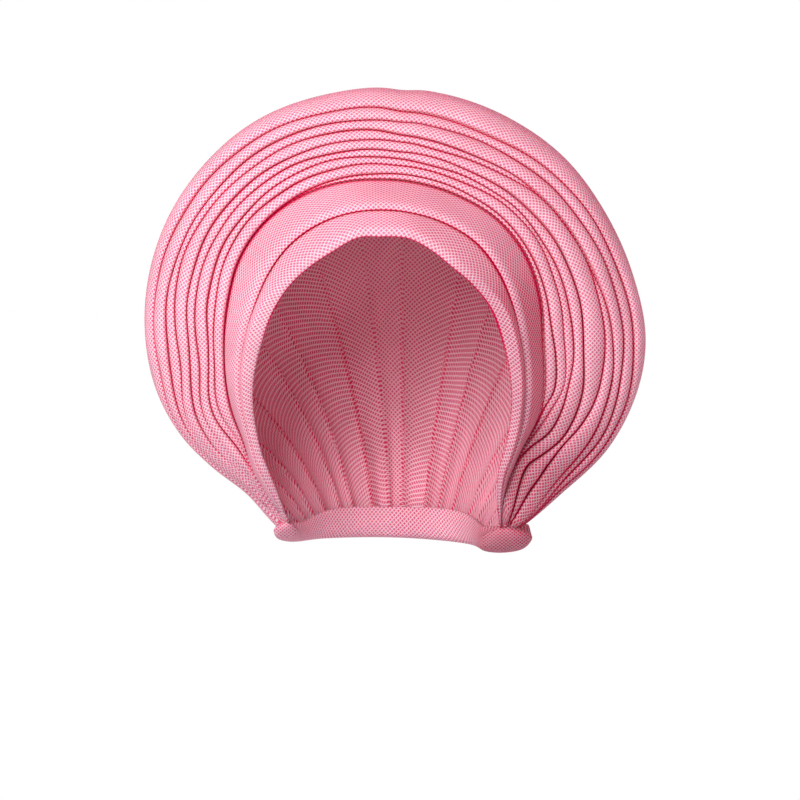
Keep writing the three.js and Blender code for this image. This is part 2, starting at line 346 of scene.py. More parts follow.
def smooth_profile(rows: Sequence[NamedTuple], count: int) -> NamedTuple:
    """A profile read at evenly spaced places along the smooth curve through its points.

    Args:
        rows: the profile's points, in order.
        count: number of places.

    Returns:
        One row of the same kind, with an array in each column.
    """
    table = np.array(rows, dtype=float)
    places = np.linspace(0, len(rows) - 1, count)
    return type(rows[0])(*smooth_table(np.arange(len(rows), dtype=float), table, places).T)


def smoothstep(value: Array, start: float, end: float) -> Array:
    """Zero before start and one after end, with a cubic ease between them."""
    t = np.clip((value - start) / (end - start), 0, 1)
    return t * t * (3 - 2 * t)


def lerp(a: Any, b: Any, share: Any) -> Any:
    """The value that share of the way from a to b."""
    return a + (b - a) * share


def around(angles: Array, radius: Array, depth: Array) -> Array:
    """Points from radius and depth in the sections round the face, the radius turned about the fan's axis.

    Args:
        angles: one angle in degrees for each section.
        radius: a row of radii for each section.
        depth: a row of depths for each section.

    Returns:
        Grid of points, sections by columns by three.
    """
    turn = np.radians(angles)[:, None]
    return np.stack([radius * np.sin(turn), depth, FAN_AXIS_Z + radius * np.cos(turn)], axis=-1)


def grid_normals(points: Array) -> Array:
    """Unit normals of a grid, the cross product of its steps along the two parameters."""
    normals = np.cross(np.gradient(points, axis=0), np.gradient(points, axis=1))
    return normals / np.linalg.norm(normals, axis=-1, keepdims=True)


def arc_lengths(points: Array) -> Array:
    """Length along each section of a grid, summed from its first column."""
    steps = np.linalg.norm(np.diff(points, axis=1), axis=-1)
    return np.concatenate([np.zeros((len(points), 1)), np.cumsum(steps, axis=1)], axis=1)


def linear(colour: str) -> tuple[float, float, float, float]:
    """The linear colour of an sRGB value: a straight line for the darkest values and a power curve above.

    Args:
        colour: the value in hex, after a hash sign.

    Returns:
        Red, green and blue, with full alpha.
    """
    channels = np.array([int(colour[i : i + 2], 16) for i in (1, 3, 5)]) / 255
    low = channels / 12.92
    high = ((channels + 0.055) / 1.055) ** 2.4
    return (*(float(c) for c in np.where(channels <= 0.04045, low, high)), 1.0)


def add_node(
    tree: NodeTree, kind: str, settings: dict, inputs: dict | tuple, output: str | int = 0
) -> NodeSocket:
    """Add a shader node, set its properties, and set or link its inputs.

    Args:
        tree: the node tree that gets it.
        kind: the node's type name, after the ShaderNode that they all start with.
        settings: property names and values.
        inputs: values, or sockets to link from, by name or number of the input or in its order.
        output: name or number of the output that is wanted.

    Returns:
        The output's socket.
    """
    node = tree.nodes.new("ShaderNode" + kind)
    for name, value in settings.items():
        setattr(node, name, value)
    for name, value in inputs.items() if isinstance(inputs, dict) else enumerate(inputs):
        if isinstance(value, NodeSocket):
            tree.links.new(value, node.inputs[name])
        else:
            node.inputs[name].default_value = value
    return node.outputs[output]


@dataclass(frozen=True)
class WovenCloth:
    """Stiffened two-tone cloth: a raised pale lattice of threads over a pink ground, woven and starched.

    The pale threads cross on the bias and make small diamonds, each with a dark sunk eye. What is seen is a
    matt, slightly fuzzy surface, with a pale painted highlight on the crests of the folds. Red light goes a
    little way through the thin cloth, and the folds are painted a deep red as painted shade.
    """

    name: str = "stiffened_two_tone_weave"
    diamond: float = 2.75
    ground: str = "#f07696"
    thread: str = "#fde3eb"
    eye: str = "#a04a64"
    # Colour of the painted highlight on the crests.
    crest_highlight: str = "#ffe9f0"
    # Colour of the painted red shade in the creases.
    painted_crease_red: str = "#de0650"
    highlight_cover: float = 0.12
    thread_half: float = 0.11
    thread_soft: float = 0.18
    eye_places: Pair = (0.3, 0.5)
    fuzz_size: float = 0.5
    tone_size: float = 45.0
    wander_size: float = 9.0
    wander: float = 0.12
    worn_full: float = 0.45
    # How the painted red shade in the folds is laid over the weave.
    fold_break: float = 0.22
    fold_depths: Pair = (0.05, 0.8)
    tone_noise: Pair = (0.3, 0.7)
    tone_values: Pair = (0.93, 1.05)
    relief: float = 0.3
    relief_strength: float = 0.6
    roughness: float = 0.8
    specular: float = 0.1
    glow: float = 0.35
    glow_reach: tuple[float, float, float] = (3.0, 0.4, 0.6)

    def material(self) -> Material:
        """Build the node material: lattice, eyes and fuzz on the weave map, with painted shade and highlight
        from two maps.

        Returns:
            The material, ready to put on a cloth piece.
        """
        material = bpy.data.materials.new(self.name)
        material.use_nodes = True
        tree = material.node_tree
        weave = add_node(tree, "UVMap", {"uv_map": WEAVE_MAP}, {}, "UV")
        gaps = self.thread_gaps(tree, weave)
        low, high = self.thread_half - self.thread_soft / 2, self.thread_half + self.thread_soft / 2
        threads = [add_node(tree, "MapRange", EASED, (gap, low, high, 1.0, 0.0)) for gap in gaps]
        lattice = add_node(tree, "Math", {"operation": "MAXIMUM"}, tuple(threads))
        inside = add_node(tree, "Math", {"operation": "MINIMUM"}, tuple(gaps))
        eye = add_node(tree, "MapRange", EASED, (inside, *self.eye_places))
        relief = add_node(tree, "Math", {"operation": "SUBTRACT"}, (lattice, eye))
        bump = add_node(
            tree,
            "Bump",
            {},
            {"Height": relief, "Strength": self.relief_strength, "Distance": self.relief * MM},
        )
        shader = tree.nodes["Principled BSDF"]
        tree.links.new(self.dye_and_painted_light(tree, weave, lattice, eye, relief), shader.inputs["Base Color"])
        tree.links.new(bump, shader.inputs["Normal"])
        shader.inputs["Roughness"].default_value = self.roughness
        shader.inputs["Specular IOR Level"].default_value = self.specular
        shader.inputs["Subsurface Weight"].default_value = self.glow
        shader.inputs["Subsurface Radius"].default_value = self.glow_reach
        shader.inputs["Subsurface Scale"].default_value = MM
        return material

    def thread_gaps(self, tree: NodeTree, weave: NodeSocket) -> list[NodeSocket]:
        """Distance to the nearest thread of each family, for threads on the bias that wander a little.

        Args:
            tree: the material's node tree.
            weave: place on the flat cloth.

        Returns:
            One socket for each family, 0 on a thread and a half between two.
        """
        drift = add_node(
            tree,
            "TexNoise",
            {"noise_dimensions": "2D"},
            {"Vector": weave, "Scale": 1 / (self.wander_size * MM), "Detail": 1.0},
            "Color",
        )
        centred = add_node(tree, "VectorMath", {"operation": "SUBTRACT"}, (drift, (0.5, 0.5, 0.5)))
        reach = (self.wander * self.diamond * MM,) * 3
        wandering = add_node(tree, "VectorMath", {"operation": "MULTIPLY_ADD"}, (centred, reach, weave))
        bias = add_node(
            tree,
            "Mapping",
            {},
            {
                "Vector": wandering,
                "Rotation": (0.0, 0.0, math.radians(45)),
                "Scale": (math.sqrt(2) / (self.diamond * MM),) * 3,
            },
        )
        axes = [add_node(tree, "SeparateXYZ", {}, (bias,), axis) for axis in "XY"]
        return [add_node(tree, "Math", {"operation": "PINGPONG"}, (axis, 0.5)) for axis in axes]

    def dye_and_painted_light(
        self, tree: NodeTree, weave: NodeSocket, lattice: NodeSocket, eye: NodeSocket, relief: NodeSocket
    ) -> NodeSocket:
        """Colour of the cloth: ground, eyes and worn threads, with a painted highlight on the crests and
        painted red shade in the folds.

        Args:
            tree: the material's node tree.
            weave: place on the flat cloth.
            lattice: 1 on the threads.
            eye: 1 in the middle of the diamonds.
            relief: height of the weave, from -1 in the eyes to 1 on the threads.

        Returns:
            The colour's socket.
        """
        painted_light, painted_shade = (
            add_node(tree, "Attribute", {"attribute_name": name}, {}, "Fac") for name in (PAINTED_LIGHT_MAP, PAINTED_SHADE_MAP)
        )
        crest = add_node(tree, "MapRange", {}, (painted_light, 0.0, -1.0))
        fuzz, tone = (
            add_node(
                tree,
                "TexNoise",
                {"noise_dimensions": "2D"},
                {"Vector": weave, "Scale": 1 / (size * MM), "Detail": 2.0},
                "Fac",
            )
            for size in (self.fuzz_size, self.tone_size)
        )
        worn = add_node(tree, "Math", {"operation": "MULTIPLY"}, (lattice, fuzz))
        pale = add_node(tree, "MapRange", {}, (worn, 0.0, self.worn_full))
        # Painted highlight: the crests are washed over by its colour.
        highlight_over = add_node(tree, "Math", {"operation": "MULTIPLY"}, (crest, self.highlight_cover))
        # The threads stay pale a little way down into the painted red shade of a fold, so the fold's line is
        # broken up by them.
        broken = add_node(tree, "Math", {"operation": "MULTIPLY_ADD"}, (relief, -self.fold_break, painted_light))
        sunk = add_node(tree, "MapRange", EASED, (broken, *self.fold_depths))
        thread, crest_highlight = linear(self.thread), linear(self.crest_highlight)
        # On the crests the threads take the painted highlight's colour.
        yarn = add_node(tree, "Mix", COLOURS, {0: crest, MIX_FROM: thread, MIX_TO: crest_highlight}, MIXED)
        colour = linear(self.ground)
        # Each layer covers the ones before it by its share: eyes, threads, painted highlight, painted red
        # shade.
        layers = ((eye, linear(self.eye)), (pale, yarn), (highlight_over, crest_highlight), (sunk, linear(self.painted_crease_red)))
        for share, over in layers:
            colour = add_node(tree, "Mix", COLOURS, {0: share, MIX_FROM: colour, MIX_TO: over}, MIXED)
        brightness = add_node(tree, "MapRange", {}, (tone, *self.tone_noise, *self.tone_values))
        # Painted shade: the brightness is lowered by the share in the painted shade map.
        left = add_node(tree, "Math", {"operation": "SUBTRACT"}, (brightness, painted_shade))
        return add_node(tree, "HueSaturation", {}, {"Color": colour, "Value": left})


@dataclass(frozen=True)
class PaintedFloor:
    """Matt pale studio floor paint: an even, slightly cool tone that runs out to white, as a sweep does."""

    name: str = "matt_studio_paint"
    pale: str = "#daf2f0"
    mottle: str = "#d6eeec"
    mottle_size: float = 60.0
    sweep_start: float = 450.0
    sweep_end: float = 1500.0
    sweep_white: str = "#ffffff"
    roughness: float = 0.9

    def material(self) -> Material:
        """Build the floor's node material: two close tones, going over to plain white away from the middle.

        Returns:
            The material.
        """
        material = bpy.data.materials.new(self.name)
        material.use_nodes = True
        tree = material.node_tree
        shader = tree.nodes["Principled BSDF"]
        place = add_node(tree, "TexCoord", {}, {}, "Object")
        scale = 1 / (self.mottle_size * MM)
        noise = add_node(tree, "TexNoise", {}, {"Vector": place, "Scale": scale}, "Fac")
        pale, mottle = linear(self.pale), linear(self.mottle)
        tones = add_node(tree, "Mix", COLOURS, {0: noise, MIX_FROM: pale, MIX_TO: mottle}, MIXED)
        tree.links.new(tones, shader.inputs["Base Color"])
        shader.inputs["Roughness"].default_value = self.roughness
        away = add_node(tree, "VectorMath", {"operation": "LENGTH"}, (place,), "Value")
        sweep = add_node(tree, "MapRange", EASED, (away, self.sweep_start * MM, self.sweep_end * MM))
        white = add_node(tree, "Emission", {}, {"Color": linear(self.sweep_white)})
        mixed = add_node(tree, "MixShader", {}, (sweep, shader.outputs[0], white))
        tree.links.new(mixed, tree.nodes["Material Output"].inputs["Surface"])
        return material


def quad_corners(near: Array, far: Array) -> Array:
    """The four corners of each quad, from the sections on its near and on its far side."""
    return np.stack([near[:, :-1], far[:, :-1], far[:, 1:], near[:, 1:]], axis=2)


def weave_places(u: Array, v: Array) -> Array:
    """Places on the flat cloth of the corners of a grid's quads, from those of its points."""
    flat = np.stack([np.broadcast_to(u, v.shape), v], axis=-1)
    return quad_corners(flat[:-1], flat[1:])


def weave_round(points: Array, angles: Array, crest: int) -> Array:
    """Lay the weave along one column of a grid round the face, closed up towards the sides.

    Args:
        points: grid of points, sections by columns by three.
        angles: the sections' angles round the face.
        crest: the column's number.

    Returns:
        Places for the corners of the grid's quads.
    """
    steps = np.linalg.norm(np.diff(points[:, crest], axis=0), axis=-1)
    close = 1 + CLOSING * smoothstep(np.abs(angles[1:]), *CLOSING_ANGLES)
    runs = np.concatenate([[0.0], np.cumsum(steps * close)])[:, None]
    lengths = arc_lengths(points)
    return weave_places(runs, lengths - lengths[:, crest : crest + 1])


@dataclass(frozen=True)
class NapeLine:
    """The ellipse round the back of the neck that the crown comes down to and the roll runs on."""

    x: float = 8.0
    y: float = 22.0
    half_width: float = 61.0
    half_depth: float = 54.0

    def points(self, angles: Array, out: Array, z: Array) -> Array:
        """Points on the ellipse, moved out along its normal.

        Args:
            angles: angles from straight back.
            out: steps outwards.
            z: heights.

        Returns:
            Points, in the shape that the three have together.
        """
        turn = np.radians(angles)
        way_x, way_y = np.sin(turn) / self.half_width, np.cos(turn) / self.half_depth
        long = np.hypot(way_x, way_y)
        x = self.x + self.half_width * np.sin(turn) + out * way_x / long
        y = self.y + self.half_depth * np.cos(turn) + out * way_y / long
        return np.stack(np.broadcast_arrays(x, y, z), axis=-1)


@dataclass(frozen=True)
class RollMouth:
    """Where the ends of the bands and of the fan are drawn together and tucked into the nape roll."""

    left: tuple[float, float, float] = (-52.0, 20.0, -99.0)
    right: tuple[float, float, float] = (69.0, 24.0, -102.0)
    drawn: float = 0.8

    def tuck(self, points: Array, angles: Array, starts: Pair) -> Array:
        """Draw the ends of a piece together: each section moves to the mouth by an eased share.

        Args:
            points: grid of points, sections by columns by three.
            angles: the sections' angles round the face.
            starts: angles on the left and right where the drawing in starts.

        Returns:
            The grid with its ends drawn in.
        """
        to_left = self.drawn * smoothstep(-angles, -starts[0], -angles[0])[:, None, None]
        to_right = self.drawn * smoothstep(angles, starts[1], angles[-1])[:, None, None]
        return lerp(lerp(points, np.array(self.left), to_left), np.array(self.right), to_right)


class Sheet(NamedTuple):
    """A sheet of cloth as a grid, sections by columns, in millimetres.

    The weave has a place on the flat cloth for each corner of each quad. Then comes painted light: painted
    red shade down in a fold, from 0 upwards, or a painted highlight out on a crest, down to -1. Last comes
    painted shade, the share of brightness taken away.
    """

    points: Array
    weave: Array
    painted_light: Array
    painted_shade: Array | float = 0.0


@dataclass(kw_only=True)
class ClothPiece:
    """A piece of cloth that stands for one node of the solids; flat_size and cut_area are in metres."""

    node: str
    flat_size: Pair
    cut_area: float | None = None
    hold: Hold = Hold.FOLDED

    def sheet(self) -> Sheet:
        """The piece's sheet, which each kind of piece works out in its own way."""
        raise NotImplementedError

    def build(self) -> Object:
        """Make the piece from its sheet: quads between neighbours, thickened inwards to one layer of cloth.

        Returns:
            The piece, linked to the scene, with its weave map and its attributes of painted light and
            painted shade.
        """
        points, weave, painted_light, painted_shade = self.sheet()
        sections, columns = points.shape[:2]
        first = (np.arange(sections - 1)[:, None] * columns + np.arange(columns - 1)).ravel()
        quads = np.stack([first, first + columns, first + columns + 1, first + 1], axis=1)
        mesh = bpy.data.meshes.new(self.node + "_cloth")
        mesh.from_pydata((points.reshape(-1, 3) * MM).tolist(), [], quads.tolist())
        mesh.uv_layers.new(name=WEAVE_MAP).data.foreach_set("uv", (weave * MM).ravel())
        for attribute, values in ((PAINTED_LIGHT_MAP, painted_light), (PAINTED_SHADE_MAP, painted_shade)):
            spread = np.broadcast_to(values, (sections, columns)).ravel()
            mesh.attributes.new(attribute, "FLOAT", "POINT").data.foreach_set("value", spread)
        mesh.polygons.foreach_set("use_smooth", np.ones(len(quads), dtype=bool))
        piece = bpy.data.objects.new(mesh.name, mesh)
        bpy.context.scene.collection.objects.link(piece)
        wall = piece.modifiers.new("cloth_wall", "SOLIDIFY")
        wall.thickness = CLOTH_WALL * MM
        wall.offset = -1
        return piece

    def dress(self, piece: Object, cloth: Material) -> None:
        """Args:
            piece: the piece that was built.
            cloth: the finish.
        """
        piece.data.materials.append(cloth)
        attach(piece, "root")
        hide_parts(self.node)


@dataclass(kw_only=True)
class BrowBand(ClothPiece):
    """One of the two folded bands over the brow: inner layer, folded edge that faces forwards, and flat.

    Towards the right end the cloth is painted redder and darker: painted shade.
    """

    place: BandPlace
    edge_width: float
    edge_most: Pair
    widening: float
    tail: BandRow
    # Painted shade at the right end: less painted highlight, and a painted red on the flat.
    right_highlight: float
    right_painted_red: float = 0.5
    lift: float = 2.8
    lift_ends: Pair = (70.0, 100.0)
    under_step: Pair = (0.5, 0.6)
    side_angles: Pair = (55.0, 95.0)
    # Where the painted shade of the right end comes in, and how much darker it paints the cloth.
    right_angles: Pair = (35.0, 80.0)
    right_painted_shade: float = 0.14
    # Painted highlight on the folded edge: its share and where it lies.
    crest_highlight_share: float = 0.8
    crest_back: Pair = (-0.5, -0.05)
    crest_flat: Pair = (-0.12, 0.0)
    crest_place: float = 0.45
    # Where the painted red shade lies at the two creases, and how it fades to the sides.
    foot_red: Pair = (0.8, 1.0)
    edge_red: Pair = (0.05, 0.6)
    inner_layer: float = -2.0
    red_fade: float = 0.85
    fade_angles: Pair = (75.0, 105.0)
    ends: float = 146.0
    tuck_start: float = 137.0
    sections: int = 270
    columns: int = 44
    mouth: RollMouth = RollMouth()

    def section_points(self, edges: SectionRow) -> tuple[Array, Array, BandRow]:
        """Work out the band's sections: edge line plus a step along the edge, back, along the flat and out.

        The lower band goes on a little way under the upper one, which lifts off it over the brow.

        Args:
            edges: the edges that the sections meet.

        Returns:
            Radii and depths, sections by columns, and the profile they follow.
        """
        if self.place is BandPlace.LOWER:
            under_r, under_y = self.under_step
            lines = (edges.open_r, edges.open_y, edges.fold_r + under_r, edges.fold_y + under_y)
        else:
            lift = self.lift * (1 - smoothstep(np.abs(edges.angle), *self.lift_ends))
            lines = (edges.fold_r, edges.fold_y - lift, edges.foot_r, edges.foot_y)
        start_r, start_y, end_r, end_y = (line[:, None] for line in lines)
        at_side = smoothstep(np.abs(edges.angle), *self.side_angles)[:, None]
        profile = smooth_profile((*BAND_PROFILE, self.tail), self.columns)
        wide = self.edge_width * (1 + at_side * self.widening)
        width = np.minimum(wide, lerp(*self.edge_most, at_side) * (end_r - start_r))
        small = np.minimum(1, width / self.edge_width)
        flat_r = end_r - start_r - width
        flat_y = end_y - start_y
        long = np.hypot(flat_r, flat_y)
        out = profile.out * small
        radius = start_r + profile.edge * width + profile.flat * flat_r + out * flat_y / long
        depth = start_y + profile.back * small + profile.flat * flat_y - out * flat_r / long
        return radius, depth, profile

    def painted_light_map(self, angles: Array, profile: BandRow, to_right: Array) -> Array:
        """Work out the painted light: a painted highlight on the folded edge and painted red shade at both
        creases.

        Args:
            angles: the sections' angles round the face.
            profile: the profile that the sections follow.
            to_right: share of the way to the right end, for each section.

        Returns:
            Painted red shade, from 0 up, and painted highlight, below 0, sections by columns.
        """
        crest = smoothstep(-profile.back, *self.crest_back) * smoothstep(-profile.flat, *self.crest_flat)
        shade = 1 - self.red_fade * smoothstep(np.abs(angles), *self.fade_angles)[:, None]
        foot = smoothstep(profile.flat, *self.foot_red) * (profile.out > self.inner_layer)
        sunk = foot + smoothstep(profile.back, *self.edge_red)
        # Painted red shade at the creases, fading to the sides, and a painted highlight on the crest that
        # weakens towards the right end.
        painted_light = sunk * shade - crest * lerp(self.crest_highlight_share, self.right_highlight, to_right)
        # Painted shade: towards the right end the flat is painted redder.
        return painted_light + self.right_painted_red * to_right * (1 - crest)

    def sheet(self) -> Sheet:
        """Work out the band from its sections, with its ends drawn in and its weave laid along its edge.

        Returns:
            The band's sheet.
        """
        angles = np.linspace(-self.ends, self.ends, self.sections)
        radius, depth, profile = self.section_points(rows_at(SECTIONS, angles))
        points = around(angles, radius, depth)
        points = self.mouth.tuck(points, angles, (-self.tuck_start, self.tuck_start))
        edge = int(np.argmin(np.abs(profile.edge - self.crest_place) + profile.back))
        to_right = smoothstep(angles, *self.right_angles)[:, None]
        painted_light = self.painted_light_map(angles, profile, to_right)
        # Painted shade: the right end is painted darker.
        return Sheet(points, weave_round(points, angles, edge), painted_light, self.right_painted_shade * to_right)


class Pleat(NamedTuple):
    """One pleat of the fan, in arrays of sections by columns: its profile, its sizes and its points."""

    is_rim: bool
    profile: PleatRow
    width: Array
    deep: Array
    out: Array
    points: Array


@dataclass(kw_only=True)
class PleatedFan(ClothPiece):
    """The fan round the face: pleats laid over one another from the brow out, a rolled rim and its hem.

    Towards the lower right end the cloth is painted redder and darker: painted shade.
    """

    node: str = "pleated_fan"
    flat_size: Pair = (0.12, 0.58)
    ends: Pair = (-152.0, 146.0)
    tuck_starts: Pair = (-150.0, 142.0)
    sections: int = 270
    pleat_columns: int = 17
    crest_column: int = 5
    pleat_height: float = 6.0
    pleat_reach: float = 5.0
    swell: Wave = Wave(0.12, 5, 2.3)
    crest_half: Pair = (0.25, 0.75)
    rim_stand: float = 2.5
    full_step: float = 6.0
    hem_step: float = 1.0
    wander: float = 0.006
    sways: tuple[Wave, ...] = (Wave(1.0, 7, 1.9), Wave(0.6, 17, 3.1))
    sway_places: Pair = (0.02, 0.1)
    least_gap: float = 1e-4
    foot_depths: Pair = (0.2, 1.0)
    foot_opens: Pair = (-60.0, 10.0)
    foot_closes: Pair = (112.0, 135.0)
    # How far the painted red shade reaches at each crease, and how strong it is.
    near_red: float = 1.0
    far_red: float = 0.85
    red_depths: Pair = (0.05, 0.85)
    most_red: float = 4.0
    # Painted highlight on the crests, and all over the rim's crest.
    highlight_fade: Pair = (0.3, 0.75)
    rim_highlight: float = 0.8
    sliver_widths: Pair = (0.5, 2.5)
    # Painted shade at the lower right end: where it comes in, its painted red and how much darker it paints
    # the cloth.
    right_angles: Pair = (95.0, 130.0)
    right_painted_red: float = 0.3
    right_painted_shade: float = 0.26
    mouth: RollMouth = RollMouth()

    def base_line(self, edges: SectionRow, share: Array) -> tuple[Array, ...]:
        """Read the line that the pleats stand on: a parabola from the foot, straight back at the rim.

        Args:
            edges: the edges that the sections meet.
            share: shares of the way along the line, sections by columns.

        Returns:
            Radius and depth of the points, and of the unit steps along the line.
        """
        rim_r = (edges.rim_r - self.rim_stand)[:, None]
        foot_r, foot_y, rim_y = (e[:, None] for e in (edges.foot_r, edges.foot_y, edges.rim_y))
        radius = rim_r - (1 - share) ** 2 * (rim_r - foot_r)
        depth = lerp(foot_y, rim_y, share)
        step_r = 2 * (1 - share) * (rim_r - foot_r)
        step_y = rim_y - foot_y
        long = np.hypot(step_r, step_y)
        return radius, depth, step_r / long, step_y / long

    def creases(self, angles: Array) -> tuple[Array, Array]:
        """Read where the creases run and how deep they are, with the foot before them and the rim after.

        The creases sway by two sine waves of the angle, each crease out of step with the next.

        Args:
            angles: the sections' angles round the face.

        Returns:
            Shares of the way from foot to rim, and shares of full depth, sections by creases.
        """
        ones = np.ones(len(angles))
        inner = smooth_table(CREASE_PLACES[:, 0], CREASE_PLACES[:, 1:], angles)
        turn, number = np.radians(angles)[:, None], np.arange(inner.shape[1])
        sway = sum(wave.at(turn, number) for wave in self.sways)
        inner = inner + self.wander * sway * smoothstep(inner, *self.sway_places)
        places = np.column_stack([0 * ones, inner, ones])
        places = np.maximum.accumulate(places + np.arange(places.shape[1]) * self.least_gap, axis=1)
        deep = smooth_table(CREASE_DEPTHS[:, 0], CREASE_DEPTHS[:, 1:], angles)
        open_foot = lerp(*self.foot_depths, smoothstep(angles, *self.foot_opens))
        foot = open_foot * (1 - smoothstep(angles, *self.foot_closes))
        return places / places[:, -1:], np.clip(np.column_stack([foot, deep, ones]), 0, 1)

    def pleat(self, number: int, edges: SectionRow, places: Array, depths: Array) -> Pleat:
        """Work out one pleat: its profile laid between two creases, on the line that the pleats stand on.

        Its height nears the full height as it gets wider, by an exponential, and swells by a sine wave.

        Args:
            number: the pleat's number, from the foot outwards.
            edges: the edges that the sections meet.
            places: where the creases run, sections by creases.
            depths: how deep they are, sections by creases.

        Returns:
            The pleat.
        """
        is_rim = number == places.shape[1] - 2
        profile = smooth_profile(RIM_PROFILE if is_rim else PLEAT_PROFILE, self.pleat_columns)
        start, end = places[:, number, None], places[:, number + 1, None]
        width = (end - start) * (edges.rim_r - self.rim_stand - edges.foot_r)[:, None]
        seen = np.clip(lerp(start, end, profile.across), 0, 1)
        radius, depth, step_r, step_y = self.base_line(edges, 1 - np.sqrt(1 - seen))
        half = smoothstep(profile.across, *self.crest_half)
        deep = lerp(depths[:, number, None], depths[:, number + 1, None], half)
        up = 1 - (1 - profile.up) * deep
        height = self.pleat_height * (1 + self.swell.at(np.radians(edges.angle)[:, None], number))
        rise = up * height * (1 - np.exp(-width / self.pleat_reach))
        step = np.where(profile.along > self.hem_step, 1, deep * np.minimum(1, width / self.full_step))
        along = profile.along * step
        out = radius + along * step_r + rise * step_y
        points = around(edges.angle, out, depth + along * step_y - rise * step_r)
        return Pleat(is_rim, profile, width, deep, out, points)

    def painted_light_map(self, pleat: Pleat, front: Array, to_right: Array) -> Array:
        """Work out a pleat's painted light: painted red shade in its creases and a painted highlight on its
        crest.

        Seen from the front, the painted red shade comes near_red out from the pleat before it, and goes back
        far_red from the pleat's own outermost point, where the rim has none. A sliver of a pleat is painted
        red all over.

        Args:
            pleat: the pleat.
            front: radius that the pleats before it reach, for each section.
            to_right: share of the way to the right end, for each section.

        Returns:
            Painted red shade, from 0 up, and painted highlight, below 0, sections by columns.
        """
        across, out, deep = pleat.profile.across, pleat.out, pleat.deep
        most = out.max(axis=1, keepdims=True)
        past = np.maximum.accumulate(out == most, axis=1)
        far = np.where(past, 1, 1 - (most - out) / self.far_red)
        highlight = (1 - smoothstep(across, *self.highlight_fade)) * deep
        sliver = (1 - smoothstep(pleat.width, *self.sliver_widths)) * deep.max(axis=1, keepdims=True)
        # The rim gets no painted red shade and at least a set share of painted highlight.
        if pleat.is_rim:
            far, sliver = 0 * far, 0 * sliver
            highlight = np.maximum(highlight, self.rim_highlight)
        sunk = np.where(across < 0.5, 1 - (out - front) / self.near_red, far)
        # Painted red shade by the creases; elsewhere a painted highlight, which fades towards the right end.
        painted_light = np.clip(sunk * smoothstep(deep, *self.red_depths), -highlight * (1 - to_right), self.most_red)
        # Painted shade: towards the right end the cloth is painted redder; a sliver is painted red all over.
        return lerp(painted_light + self.right_painted_red * to_right, 1, sliver)

    def sheet(self) -> Sheet:
        """Work out the fan, one pleat after another from the foot to the rim, with its ends drawn in.

        Returns:
            The fan's sheet.
        """
        angles = np.linspace(*self.ends, self.sections)
        edges = rows_at(SECTIONS, angles)
        places, depths = self.creases(angles)
        to_right = smoothstep(angles, *self.right_angles)[:, None]
        front = edges.foot_r[:, None]
        grids, weaves, folds = [], [], []
        for number in range(places.shape[1] - 1):
            pleat = self.pleat(number, edges, places, depths)
            grids.append(self.mouth.tuck(pleat.points, angles, self.tuck_starts))
            weaves.append(weave_round(pleat.points, angles, self.crest_column))
            folds.append(self.painted_light_map(pleat, front, to_right))
            front = np.maximum(front, pleat.out.max(axis=1, keepdims=True))
        points, painted_light = (np.concatenate(strips, axis=1) for strips in (grids, folds))
        # Painted shade: the lower right end is painted darker.
        return Sheet(points, self.join_strips(weaves), painted_light, self.right_painted_shade * to_right)

    @staticmethod
    def join_strips(weaves: list[Array]) -> Array:
        """Join the weave of all pleats, the strip between two pleats taking the later one's edge.

        Args:
            weaves: weave places of each pleat, from the foot outwards.

        Returns:
            Weave places of the whole fan.
        """
        joined = [weaves[0]]
        for after in weaves[1:]:
            near, far = after[:, :1, 0], after[:, :1, 1]
            joined.extend([np.stack([near, far, far, near], axis=2), after])
        return np.concatenate(joined, axis=1)


